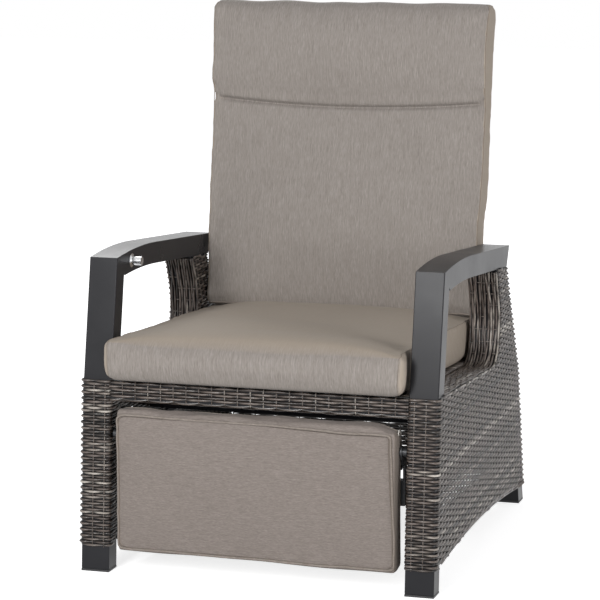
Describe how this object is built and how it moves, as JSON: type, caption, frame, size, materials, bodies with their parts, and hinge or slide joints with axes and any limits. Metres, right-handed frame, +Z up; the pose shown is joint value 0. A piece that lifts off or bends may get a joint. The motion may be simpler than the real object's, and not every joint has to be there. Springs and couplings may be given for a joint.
{
  "type": "reclining garden armchair",
  "caption": "Reclining garden armchair with woven sides, aluminium arms, thick taupe cushions, a lockable gas spring and a footrest that lifts as the back reclines.",
  "frame": {"origin": "on the floor under the middle of the whole chair", "axes": "+Z up, -Y the way the sitter faces, +X the sitter's left"},
  "size_m": [0.727, 0.8586, 1.0936],
  "materials": {
    "frame_aluminium": "satin anthracite powder coat",
    "wicker": "mixed grey-brown half-round polyethylene strand",
    "cushion_fabric": "taupe melange outdoor fabric",
    "webbing": "black webbing",
    "elastic_cord": "pale elastic cord",
    "dark_plastic": "matt",
    "chrome": "polished",
    "pin_steel": "zinc plated",
    "link_steel": "satin powder coat",
    "gas_cylinder_black": "semi-gloss black",
    "rod_steel": "ground steel"
  },
  "bodies": {
    "base": {"arm_end_caps": "dark_plastic", "arm_left": "frame_aluminium", "arm_right": "frame_aluminium", "back_hinge_brackets": "link_steel", "back_hinge_pins": "pin_steel", "button_bezel": "chrome", "foot_glides": "dark_plastic", "footrest_pivot_pins": "pin_steel", "front_apron_weave": "wicker", "front_leg_left": "frame_aluminium", "front_leg_right": "frame_aluminium", "front_seat_rail": "frame_aluminium", "gas_spring_pin": "pin_steel", "gas_spring_rail": "frame_aluminium", "lower_side_rail_left": "frame_aluminium", "lower_side_rail_right": "frame_aluminium", "rear_leg_left": "frame_aluminium", "rear_leg_right": "frame_aluminium", "rear_lower_rail": "frame_aluminium", "rear_panel_weave": "wicker", "rear_seat_rail": "frame_aluminium", "rim_tube_left": "frame_aluminium", "rim_tube_right": "frame_aluminium", "seat_cushion": "cushion_fabric", "seat_deck_weave": "wicker", "seat_side_rail_left": "frame_aluminium", "seat_side_rail_right": "frame_aluminium", "side_weave_left": "wicker", "side_weave_right": "wicker"},
    "backrest": {"backrest_frame": "frame_aluminium", "backrest_weave": "wicker", "back_hinge_bushes": "dark_plastic", "back_cushion": "cushion_fabric", "back_cushion_strap": "webbing", "lever_link_pins": "pin_steel", "gas_lever_pin": "pin_steel", "back_lever_plates": "link_steel"},
    "footrest": {"footrest_frame": "frame_aluminium", "footrest_weave": "wicker", "footrest_cushion": "cushion_fabric", "footrest_tie_loops": "elastic_cord", "footrest_link_pins": "pin_steel", "footrest_hinge_plates": "link_steel"},
    "push_rod_left_body": {"push_rod_left": "link_steel"},
    "push_rod_right_body": {"push_rod_right": "link_steel"},
    "gas_cylinder_body": {"gas_cylinder": "gas_cylinder_black"},
    "gas_rod_body": {"gas_rod": "rod_steel"},
    "release_lever_body": {"release_lever": "pin_steel"},
    "release_button_body": {"release_button": "chrome"}
  },
  "joints": [
    {"name": "back_recline", "type": "hinge", "parent": "base", "child": "backrest", "pos_m": [0, 0.2895, 0.37], "axis": [-1, 0, 0], "range_deg": [0, 38]},
    {"name": "footrest_lift", "type": "hinge", "parent": "base", "child": "footrest", "pos_m": [0, -0.3685, 0.276], "axis": [-1, 0, 0], "range_deg": [0, 80]},
    {"name": "push_rod_left_turn", "type": "hinge", "parent": "backrest", "child": "push_rod_left_body", "pos_m": [0.279, 0.31229, 0.30381], "axis": [-1, 0, 0], "range_deg": [-38, 0]},
    {"name": "push_rod_right_turn", "type": "hinge", "parent": "backrest", "child": "push_rod_right_body", "pos_m": [-0.279, 0.31229, 0.30381], "axis": [-1, 0, 0], "range_deg": [-38, 0]},
    {"name": "gas_cylinder_swing", "type": "hinge", "parent": "base", "child": "gas_cylinder_body", "pos_m": [0, -0.1145, 0.3], "axis": [-1, 0, 0], "range_deg": [0, 2.53]},
    {"name": "gas_rod_slide", "type": "slide", "parent": "gas_cylinder_body", "child": "gas_rod_body", "axis": [0, -0.999, -0.0452], "range_m": [0, 0.04145]},
    {"name": "release_lever_turn", "type": "hinge", "parent": "gas_rod_body", "child": "release_lever_body", "pos_m": [0, 0.3123, 0.33531], "axis": [-1, 0, 0], "range_deg": [0, 12]},
    {"name": "button_press", "type": "slide", "parent": "base", "child": "release_button_body", "axis": [-1, 0, 0], "range_m": [0, 0.004], "stiffness_N_per_m": 400, "springref_m": -0.002}
  ],
  "couplings": [
    {"joint": "footrest_lift", "follows": "back_recline", "ratio": 2.1053},
    {"joint": "push_rod_left_turn", "follows": "back_recline", "ratio": -1},
    {"joint": "push_rod_right_turn", "follows": "back_recline", "ratio": -1},
    {"joint": "gas_cylinder_swing", "follows": "back_recline", "ratio": 0.066213},
    {"joint": "gas_rod_slide", "follows": "back_recline", "m_per_rad": 0.062467},
    {"joint": "release_lever_turn", "follows": "button_press", "rad_per_m": 52.359}
  ]
}
